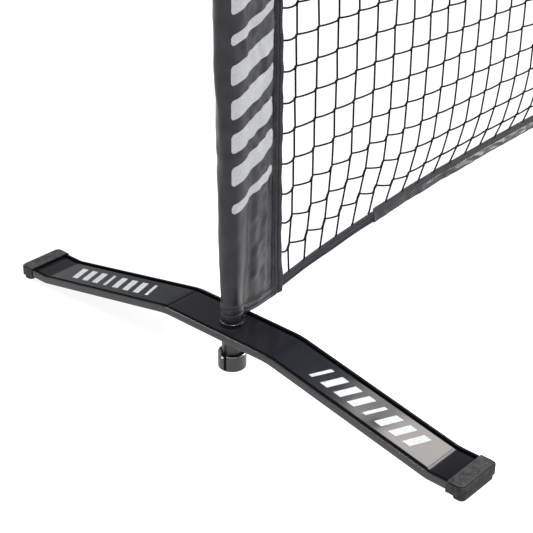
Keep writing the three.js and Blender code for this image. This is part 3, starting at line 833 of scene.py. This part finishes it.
def sleeve_grid(end):
    """Points of the sleeve's outer side: rows of height, columns from the flap's front edge round the post
    to its rear edge."""
    share = SLEEVE_SHARES[:, None]
    turn = np.linspace(0, 2 * PI, POCKET_COLUMNS)
    out = np.linspace(1, 0, FLAP_COLUMNS, endpoint=False)
    seam, far, wide, pinch, gape, hang = sleeve_plan(sleeve_low.z + share * (band_low.z - sleeve_low.z))
    middle, half = (seam + far) / 2, (seam - far) / 2
    pocket_x = middle + half * np.cos(turn)
    wide = wide - 0.6 * gape
    pocket_y = -wide * np.sin(turn) * np.abs(np.sin(turn / 2)) ** pinch - gape * np.cos(turn / 2) + hang
    flap_x = seam + (FLAP_EDGE - seam) * out
    x = np.concatenate([flap_x, pocket_x, flap_x[:, ::-1]], 1)
    bottom = flap_bottom(x)
    z = bottom + share * (CLOTH_TOP - bottom)

    # The flap's two layers wave together and stand a little apart.
    across = np.clip((flap_x - seam) / (BINDING_INNER - seam), 0, 1)
    z_flap = z[:, :FLAP_COLUMNS]
    low_folds = 1 - smooth(z_flap, 0.20, 0.42)
    wave = 2.4 * MM * np.sin(2 * PI * (across * 1.02 + 0.20)) * (0.35 + 0.65 * low_folds)
    wave += 1.5 * MM * np.sin(2 * PI * (across * 2.1 + 0.1)) * low_folds
    wave += 2.2 * MM * ripples(flap_x, z_flap, end.seed, 14, 0.030, 0.11, lean=1.6) * (1 - 0.6 * low_folds)
    wave += 1.2 * MM * ripples(flap_x, z_flap, end.seed + 1, 12, 0.014, 0.05, lean=2.4)
    wave *= np.sin(PI * np.clip(across, 0, 1)) ** 0.6
    wave *= 0.2 + 0.8 * smooth(z_flap - flap_bottom(flap_x), 0, 50 * MM)
    puff = 0.6 + 0.4 * ripples(flap_x, z_flap, end.seed + 2, 8, 0.05, 0.2)
    gap = 0.8 * MM + (gape - 0.8 * MM) * (1 - across) + 1.3 * MM * np.sin(PI * across) * puff
    wave += hang * (1 - across)
    y = np.concatenate([wave - gap, pocket_y, (wave + gap)[:, ::-1]], 1)
    points = np.stack([x, y, z], -1)

    # Soft wrinkles along the cloth's own normal, on the pocket and the flap alike.
    normal = surface_normals(points)
    metres = run_along(points[SLEEVE_ROWS // 3])
    u = np.broadcast_to(metres, z.shape)
    loose = smooth(z, 0.10, 0.35)
    wrinkle = 0.55 * MM * ripples(u, z, end.seed + 3, 16, 0.018, 0.07, lean=2.2) * (0.35 + 0.65 * loose)
    wrinkle += 0.7 * MM * ripples(u, z, end.seed + 4, 8, 0.02, 0.05, lean=0.5) * (0.4 + 0.6 * loose)
    pucker = np.exp(-(BINDING_INNER - np.minimum(x, BINDING_INNER)) / (5 * MM))
    wrinkle += 0.25 * MM * np.sin(2 * PI * z / (7 * MM)) * pucker
    above = z - flap_bottom(x)
    folded = 0.9 * MM * (1 - smooth(above, HEM_DEPTH, HEM_DEPTH + 1 * MM))
    for seam_height in HEM_SEAMS:
        folded -= 1.1 * MM * np.exp(-(((above - seam_height) / (1.0 * MM)) ** 2))
    points = points + normal * (wrinkle + folded)[..., None]

    # The pocket stays clear of the post.
    clear = POST_R + CLOTH_THICK + 0.5 * MM
    away = np.hypot(points[..., 0], points[..., 1])[..., None]
    points[..., :2] *= np.where(away < clear, clear / np.maximum(away, 1e-6), 1)
    return points, metres


def post_sleeve(end, points, metres):
    heights = SLEEVE_SHARES * SLEEVE_HEIGHT
    centre = (points[:-1, :-1] + points[1:, 1:]) / 2
    keep = (centre[..., 2] < SLEEVE_TOP) | (centre[..., 0] > 27 * MM)
    sleeve = sheet_piece(f"post_sleeve_{end.name}", end.place(points), CLOTH_THICK, "sleeve_cloth", heights,
                         metres, keep=keep)


def both_skins(x, bend, half, z):
    """Front and rear skins of a strip on edge, at half its thickness either side of its bend."""
    return [np.stack([x, bend + side * half, z], -1) for side in (-1, 1)]


def edge_binding(end):
    """The folded strip between the sleeve and the netting, with dents where it is sewn."""
    low, high = flap_bottom(0.1) - 0.5 * MM, CLOTH_TOP
    z = np.linspace(low, high, 230)[:, None]
    depth = [(0, 0.9), (0.04, 1.9), (0.13, 2.1), (0.20, 0.5), (0.27, 2.2), (0.46, 2.3), (0.54, 0.5),
             (0.62, 2.5), (0.90, 2.5), (0.97, 1.8), (1, 0.9)]
    share = np.linspace(0, 1, 41)[None, :]
    x = BINDING_INNER + share * (binding_edge(z) - BINDING_INNER)
    slope = (x - BINDING_INNER) * 0.045
    z_front = np.broadcast_to(z, x.shape) + slope * (1 - smooth(z, low, low + 0.03))
    half = np.interp(share, *zip(*depth)) * MM + 0.25 * MM * ripples(x, z, end.seed + 5, 12, 0.006, 0.03)
    sway = 0.9 * MM * ripples(x * 0.2, z, end.seed + 6, 6, 0.08, 0.3) * share
    skins = both_skins(x, sway, half, z_front)
    width = BINDING_OUTER - BINDING_INNER
    strip = strip_piece(f"edge_binding_{end.name}", skins, "binding_cloth", z[:, 0], width, end)
    return skins


# ---------------- thread and print


THREAD_R = 0.34 * MM
THREAD_RISE = 0.3 * MM  # how far a stitch stands out of the cloth
STITCH = 2.7 * MM
STITCH_PITCH = 3.8 * MM


def stitch_row(path, normal, spacing=STITCH_PITCH, length=STITCH):
    """Starts, ends and outward directions of the stitches along a path over cloth."""
    run = run_along(path)
    begin = np.arange(spacing, run[-1] - spacing, spacing)

    def at(distance, values):
        return np.stack([np.interp(distance, run, values[:, i]) for i in range(3)], -1)

    return at(begin, path), at(begin + length, path), at(begin, normal)


def side_rows(skins, columns, end=None):
    """Stitch rows down some columns of a strip's front and rear skins."""
    turn = end.inward if end else 1
    for skin, side in zip(skins, (-turn, turn)):
        for column in columns:
            path = end.place(skin[:, column]) if end else skin[:, column]
            yield stitch_row(path, np.tile((0, side, 0), (len(path), 1)))


def sew(name, rows, slot, look="thread"):
    """One mesh of all the stitches of several rows: short arched threads that dip into the cloth at both
    ends."""
    starts, ends, out = (np.concatenate(part) for part in zip(*rows))
    along = unit(ends - starts)
    out = unit(out - along * np.sum(out * along, axis=1, keepdims=True))
    side = np.cross(along, out)
    stations = np.array([0, 0.12, 0.5, 0.88, 1])
    height = np.array([-1.6, 0.35, 1.0, 0.35, -1.6])[:, None] * THREAD_RISE
    around = np.linspace(0, 2 * PI, 5, endpoint=False)
    centre = starts[:, None] + (ends - starts)[:, None] * stations[:, None] + out[:, None] * height
    ring = out[:, None] * np.cos(around)[:, None] + side[:, None] * np.sin(around)[:, None]
    points = centre[:, :, None] + THREAD_R * ring[:, None]
    count = len(stations) * len(around)
    faces = [tuple(f) for f in grid_faces(len(stations), len(around), wrap=True)]
    uv = list(grid_uv(stations * STITCH, np.linspace(0, 1, len(around) + 1)))
    faces += [tuple(reversed(range(len(around)))), tuple(range(count - len(around), count))]
    uv += [(0, 0)] * (2 * len(around))
    faces = facing_out(points[0].reshape(-1, 3), faces)
    all_faces = [tuple(v + i * count for v in face) for i in range(len(starts)) for face in faces]
    add_piece(name, points.reshape(-1, 3), all_faces, slot, look=look, uv=uv * len(starts))


def on_grid(values, row, column):
    """Values of a grid between its points, at fractions of its rows and columns."""
    rows, columns = values.shape[:2]
    row = np.clip(row, 0, rows - 1.001)
    column = np.clip(column, 0, columns - 1.001)
    r, c = row.astype(int), column.astype(int)
    fr, fc = (row - r)[..., None], (column - c)[..., None]
    near = values[r, c] * (1 - fc) + values[r, c + 1] * fc
    far = values[r + 1, c] * (1 - fc) + values[r + 1, c + 1] * fc
    return near * (1 - fr) + far * fr


PRINT_INNER = -13 * MM
PRINT_OUTER = 79 * MM
PRINT_TOP = 0.80
PRINT_BOTTOM = 0.270
PRINT_PITCH = 47 * MM
PRINT_SLANT = 0.30


def sleeve_print(end, points):
    """Plain slanted bars down both sides of the flap, in a thin skin of ink."""
    normal = surface_normals(points)
    length, corner = PRINT_OUTER - PRINT_INNER, 4 * MM
    across = np.linspace(-length / 2, length / 2, 56)[:, None]
    beyond = np.maximum(0, np.abs(across) - (length / 2 - corner))
    rounding = np.sqrt(np.maximum(corner ** 2 - beyond ** 2, 0)) - corner
    share = np.linspace(-1, 1, 18)
    grids = []
    for rear in (False, True):
        for i, height in enumerate(np.arange(PRINT_BOTTOM, PRINT_TOP, PRINT_PITCH)):
            half = (27 if i % 5 else 14) * MM / 2 + rounding
            x = (PRINT_INNER + PRINT_OUTER) / 2 + across + 0 * share
            z = height + share * half + PRINT_SLANT * across
            column = sleeve_column(x, z)
            column = points.shape[1] - 1 - column if rear else column
            bottom = flap_bottom(x)
            row = sleeve_row((z - bottom) / (CLOTH_TOP - bottom))
            surface, out = on_grid(points, row, column), on_grid(normal, row, column)
            grids.append((surface + out * 0.16 * MM, surface + out * 0.03 * MM))
    plates, faces = joined(grids)
    add_piece(f"sleeve_print_{end.name}", end.place(plates), facing_out(plates, faces), "sleeve_cloth",
              look="pale_ink")


def sleeve_threads(end, points, binding):
    """Two rows along the binding on each side, and two round the sleeve's lower hem."""
    rows = list(side_rows(binding, (8, 22), end))
    column = np.arange(points.shape[1])
    for above in HEM_SEAMS:
        row = np.full(len(column), sleeve_row(above / SLEEVE_HEIGHT))
        path, out = (on_grid(grid, row, column) for grid in (points, surface_normals(points)))
        clear = path[:, 0] < BINDING_INNER
        out = out * np.array((end.inward, end.inward, 1))
        rows.append(stitch_row(end.place(path[clear]), out[clear]))
    sew(f"sleeve_thread_{end.name}", rows, "binding_cloth")


# ---------------- strap, hem and top band


def ribbon(x, top, bottom):
    """A grid down a strip on edge: how far along, how high, and which share of the way down."""
    share = np.linspace(0, 1, 22)[None, :]
    z = top[:, None] + share * (bottom - top)[:, None]
    return np.broadcast_to(x[:, None], z.shape), z, share


def bottom_strap(end):
    """Ribbed webbing that runs from under the binding to the hem."""
    x = np.linspace(BINDING_OUTER - 9 * MM, HEM_START + 12 * MM, 150)
    drop = 4.5 * MM * (x - BINDING_OUTER) / (HEM_START - BINDING_OUTER)
    top = hem_line(x) - np.clip(drop, 0, None)
    bottom = top - STRAP_HEIGHT + 1.2 * MM * ripples(x, x * 0, end.seed + 7, 5, 0.10, 0.3)
    profile = [(0, 0.6), (0.04, 1.2), (0.20, 1.4), (0.26, 0.6), (0.32, 1.4), (0.66, 1.5), (0.72, 0.6),
               (0.78, 1.4), (0.96, 1.2), (1, 0.6)]

    u, v, share = ribbon(x, top, bottom)
    half = np.interp(share, *zip(*profile)) * MM + 0.1 * MM * ripples(u, v, end.seed + 8, 8, 0.008, 0.03)
    bend = 1.1 * MM * ripples(u, v, end.seed + 9, 6, 0.08, 0.25) * np.sin(PI * np.clip(share, 0.1, 0.9))
    strap = strip_piece(f"bottom_strap_{end.name}", both_skins(u, bend, half, v), "strap_webbing", x - x[0],
                        STRAP_HEIGHT, end)


def mirrored(points):
    """Points from the near post, at the same places from the far one."""
    return points * np.array((-1, 1, 1)) + np.array((2 * HALF_SPAN, 0, 0))


def fading(column):
    """1 near an end of the net, falling to 0 at its middle."""
    return np.cos(PI / 2 * np.clip((column - 16) / 15.5, 0, 1)) ** 2


def knots():
    """Places of the knots: netting drawn towards the middle and up by the rising hem."""
    column, row = np.meshgrid(np.arange(COLUMNS // 2), np.arange(ROWS), indexing="ij")
    along = -0.93 * 0.52 ** row * (1 - np.exp(-(column + 0.9) / 4.5)) * fading(column)
    upward = -0.26 * 0.75 ** row + 0.84 * 0.64 ** row * (1 - np.exp(-(column + 1) / 6.5))
    upward += 0.2 * 0.8 ** row * np.exp(-(((column - 4.3) / 1.6) ** 2))
    x = FIRST_COLUMN + PITCH * (column + along)
    z = LOWEST_ROW + PITCH * (row + upward)
    half = np.stack([x, 0 * x, z], -1)
    places = np.concatenate([half, mirrored(half[::-1])])
    rng = np.random.RandomState(5)
    places += (rng.rand(*places.shape) - 0.5) * np.array((1.4, 1.6, 1.4)) * MM
    return places


def hem_ends():
    """Where each upright cord runs into the hem."""
    column = np.arange(COLUMNS // 2)
    x = FIRST_COLUMN + PITCH * (column - 1.46 * (1 - np.exp(-(column + 0.6) / 4.8)) * fading(column))
    return np.concatenate([x, 2 * HALF_SPAN - x[::-1]])


def hem_tape():
    """Folded tape along the lower edge: a flat upper half over the cords, a looser lower half."""
    reach = HALF_SPAN - HEM_START
    x = np.linspace(-reach, reach, 1300)
    top = hem_line(HALF_SPAN - np.abs(x))
    profile = [(0, 0.7), (0.04, 1.3), (0.10, 1.4), (0.15, 0.5), (0.20, 1.5), (0.42, 1.6), (0.48, 0.4),
               (0.52, 1.1), (0.90, 3.9), (0.97, 3.7), (1, 1.8)]
    cords = hem_ends() + LEFT.axis
    nearest = np.min(np.abs(x[:, None] - cords[None, :]), axis=1)[:, None]

    u, v, share = ribbon(x, top, top - HEM_HEIGHT)
    ridge = 0.7 * MM * np.exp(-((nearest / (1.5 * MM)) ** 2)) * (1 - smooth(share, 0.4, 0.5))
    creases = 0.26 * MM * ripples(0.3 * u, v, 41, 16, 0.008, 0.04, lean=2 * PI)
    creases *= 0.3 + 0.7 * smooth(share, 0.45, 0.55)
    half = np.interp(share, *zip(*profile)) * MM + ridge + creases
    bend = 0.9 * MM * ripples(u, v, 43, 8, 0.06, 0.3) + 0.5 * MM * ripples(u, v, 44, 8, 0.02, 0.06) * share
    skins = both_skins(u, bend, half, v)
    tape = strip_piece("hem_tape", skins, "hem_cloth", x - x[0], HEM_HEIGHT)
    sew("hem_thread", side_rows(skins, (3, 10)), "hem_cloth")


BAND_TAIL = 1.3 * MM


def top_band():
    """Pale coated cloth folded over the bar and sewn to itself below it."""
    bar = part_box("top_bar_centre")
    bar_z = (bar[0].z + bar[1].z) / 2
    radius = band_high.z - bar_z - 0.5 * MM
    x = np.linspace(band_low.x, band_high.x, 560)
    share = np.linspace(-1, 1, 72)
    away = np.abs(share)
    tail = bar_z - band_low.z
    wrap = PI - math.acos((radius - BAND_TAIL) / tail)
    split = 0.64  # the share of each half that lies round the bar
    turn = np.clip(away / split, 0, 1) * wrap
    down = np.clip((away - split) / (1 - split), 0, 1)
    last_y, last_z = radius * math.sin(wrap), radius * math.cos(wrap)
    tail_y = last_y + (BAND_TAIL - last_y) * smooth(down, -0.35, 1.0)
    y = np.where(down > 0, tail_y, radius * np.sin(turn)) * np.sign(share)
    z = np.where(down > 0, last_z + (-tail - last_z) * down, radius * np.cos(turn)) + bar_z
    u, v = np.meshgrid(x, share * 0.07, indexing="ij")
    base = np.stack(np.broadcast_arrays(u, y, z), -1)
    loose = 0.5 * MM * ripples(u, v, 61, 16, 0.02, 0.10, lean=2.4) * (0.3 + 0.7 * smooth(away, 0.3, 0.8))
    pucker = 0.22 * MM * np.sin(2 * PI * u / (9 * MM)) * smooth(away, 0.75, 0.95)
    hemmed = 0.4 * MM * (1 - smooth(np.minimum(u - x[0], x[-1] - u), 9 * MM, 10 * MM))
    raised = np.clip(loose + pucker + hemmed - 0.4 * MM, -0.8 * MM, 0.45 * MM)
    points = base + surface_normals(base) * raised[..., None]
    width = 2 * (radius * wrap + math.hypot(last_y - BAND_TAIL, tail + last_z))
    band = sheet_piece("top_band", points, 0.7 * MM, "band_cloth", x - x[0], (share + 1) / 2 * width)
    rows = []
    for side in (-1, 1):
        for inset in (2.0, 5.0):
            column = np.full(len(x), (len(share) - 1) * (0.5 + side * (0.5 - inset * MM / width)))
            path = on_grid(points, np.arange(len(x)) * 1.0, column)
            out = np.tile((0, side, 0), (len(x), 1))
            rows.append(stitch_row(path, out, spacing=4.4 * MM, length=3.1 * MM))
    sew("band_thread", rows, "band_cloth", "white_thread")


# ---------------- netting


def tube(path, along, radius, sides):
    """Rings of points round a path in the net's plane."""
    along = unit(along)
    deep = unit(np.array((0.0, 1.0, 0.0)) - along * along[:, 1:2])
    flat = np.cross(deep, along)
    around = np.linspace(0, 2 * PI, sides, endpoint=False)[:, None]
    ring = flat[:, None] * np.cos(around) + deep[:, None] * np.sin(around)
    return (path[:, None] + radius * ring).reshape(-1, 3)


def tube_uv(run, sides):
    return grid_uv(run, np.linspace(0, 1, sides + 1)).reshape(-1, 4, 2)[:, ::-1]


class Bundle:
    """Cords and knots gathered into one mesh."""

    def __init__(self):
        self.points, self.faces, self.uv = [], [], []
        self.count = 0

    def add(self, points, quads, uv):
        self.points.append(points)
        self.faces += (quads + self.count).tolist()
        self.uv.append(uv.reshape(-1, 2))
        self.count += len(points)

    def cord(self, path, radius, sides=8):
        """A round cord along a path, closed at both ends."""
        points = tube(path, np.gradient(path, axis=0), radius, sides)
        first, last = self.count, self.count + len(points) - sides
        self.add(points, grid_faces(len(path), sides, wrap=True)[:, ::-1], tube_uv(run_along(path), sides))
        self.faces += [list(range(first, first + sides)), list(range(last, last + sides))[::-1]]
        self.uv.append(np.zeros((2 * sides, 2)))


def knot_shape(turn, stations=20, sides=5):
    """A closed knotted loop, narrow and tall, leaning to the right: its points, quads and UVs."""
    t = np.linspace(0, 2 * PI, stations, endpoint=False)
    x, y, z = (2 + np.cos(3 * t)) * np.cos(2 * t), np.sin(3 * t), (2 + np.cos(3 * t)) * np.sin(2 * t)
    x, y, z = 0.50 * MM * x, 0.75 * MM * y, 1.10 * MM * z
    lean = math.radians(24) + turn
    across, up = math.cos(lean), math.sin(lean)
    loop = np.stack([x * across + z * up, y, z * across - x * up], -1)
    points = tube(loop, np.roll(loop, -1, axis=0) - np.roll(loop, 1, axis=0), KNOT_CORD_R, sides)
    quads = grid_faces(stations, sides, wrap=True, loop=True)[:, ::-1]
    uv = tube_uv(np.arange(stations + 1) * 1.6 * MM, sides)
    return points, np.roll(quads, 1, axis=1), np.roll(uv, 1, axis=1)


CORD_ASIDE = 0.9 * MM  # level cords pass behind the net's plane, and upright ones in front of it
KNOT_CORD_R = 0.95 * MM
ACROSS = np.array([0, 0.035, 0.08, 0.17, 0.33, 0.5, 0.67, 0.83, 0.92, 0.965])
UPRIGHT = np.array([0, 0.07, 0.5, 0.93])


def level_stretch(a, b, row, column, rng):
    """A cord from knot a to knot b: it leaves high, sags and comes in low, most of all low down by the
    posts."""
    t = ACROSS
    near = 1 - float(smooth(min(column, COLUMNS - 2 - column), 3.5, 8.5))
    low_rows = max(0, 4 - row)
    step = (1.7 + (1.5 * near - 0.45 * (1 - near)) * low_rows + 0.6 * (rng.rand() - 0.5)) * MM
    settle = smooth(t, 0, 0.08) * (1 - smooth(t, 0.92, 1.0))
    path = a + (b - a) * t[:, None]
    path[:, 2] += step * (1 - 2 * t) * settle - (0.8 + 0.5 * rng.rand()) * MM * np.sin(PI * t)
    path[:, 1] += CORD_ASIDE * settle
    return path


def net_mesh():
    """All the netting, in three meshes cut inside knots."""
    places = knots()
    low_x = hem_ends()
    rng = np.random.RandomState(17)
    shapes = [knot_shape((rng.rand() - 0.5) * 0.5) for _ in range(7)]
    parts = (("left", 0, 21), ("middle", 21, 43), ("right", 43, COLUMNS))
    for name, first, last in parts:
        bundle = Bundle()
        for row in range(ROWS):
            stretches = []
            if first == 0:
                stretches.append(tied_stretch(places[0, row], row, rng))
            for column in range(max(first, 1) - 1, last - 1):
                a, b = places[column:column + 2, row]
                stretches.append(level_stretch(a, b, row, column, rng))
            stretches.append(places[last - 1, row][None])
            if last == COLUMNS:
                stretches.append(mirrored(tied_stretch(mirrored(places[-1, row]), row, rng)[::-1]))
            bundle.cord(np.concatenate(stretches), CORD_R)
        for column in range(first, last):
            bundle.cord(upright(places[column], low_x[column], rng), CORD_R)
            for place in places[column]:
                points, quads, uv = shapes[rng.randint(len(shapes))]
                bundle.add(points + place, quads, uv)
        points = np.concatenate(bundle.points) + np.array((LEFT.axis, 0, 0))
        mesh = add_piece(f"netting_{name}", points, bundle.faces, "net_cord", uv=np.concatenate(bundle.uv),
                         sharp=70)
        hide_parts("net_mesh")


def tied_stretch(knot, row, rng):
    """The cord between the binding and the first knot, hanging in a small bow."""
    start = np.array((binding_edge(knot[2]) - 2.5 * MM, 0, knot[2] + 1.2 * MM))
    t = np.linspace(0, 1, 8, endpoint=False)
    path = start + (knot - start) * t[:, None]
    droop = (2.2 + 0.6 * max(0, 3 - row) + 0.8 * rng.rand()) * MM
    path[:, 2] -= droop * np.sin(PI * t ** 1.3) ** 0.8
    return path


def upright(column, low_x, rng):
    """A cord from the hem up through a column of knots to the band."""
    foot = np.array((low_x, 0, hem_line(min(low_x, 2 * HALF_SPAN - low_x)) - 3 * MM))
    head = np.array((column[-1][0], 0, band_low.z + 4 * MM))
    stops = np.concatenate([foot[None], column, head[None]])
    path = []
    for a, b in zip(stops, stops[1:]):
        step = a + (b - a) * UPRIGHT[:, None]
        aside = (0.8 + 0.3 * rng.rand()) * MM
        step[:, 0] += aside * (1 - 2 * UPRIGHT) * smooth(UPRIGHT, 0, 0.07)
        step[:, 1] -= CORD_ASIDE * smooth(UPRIGHT, 0, 0.07)
        path.append(step)
    path.append(head[None])
    return np.concatenate(path)


# ---------------- build

for end in ENDS:
    foot(end)
    hard_pieces(end)
    sleeve_points, sleeve_metres = sleeve_grid(end)
    post_sleeve(end, sleeve_points, sleeve_metres)
    binding_skins = edge_binding(end)
    sleeve_print(end, sleeve_points)
    sleeve_threads(end, sleeve_points, binding_skins)
    bottom_strap(end)
top_bar()
hem_tape()
top_band()
net_mesh()

bpy.context.view_layer.update()
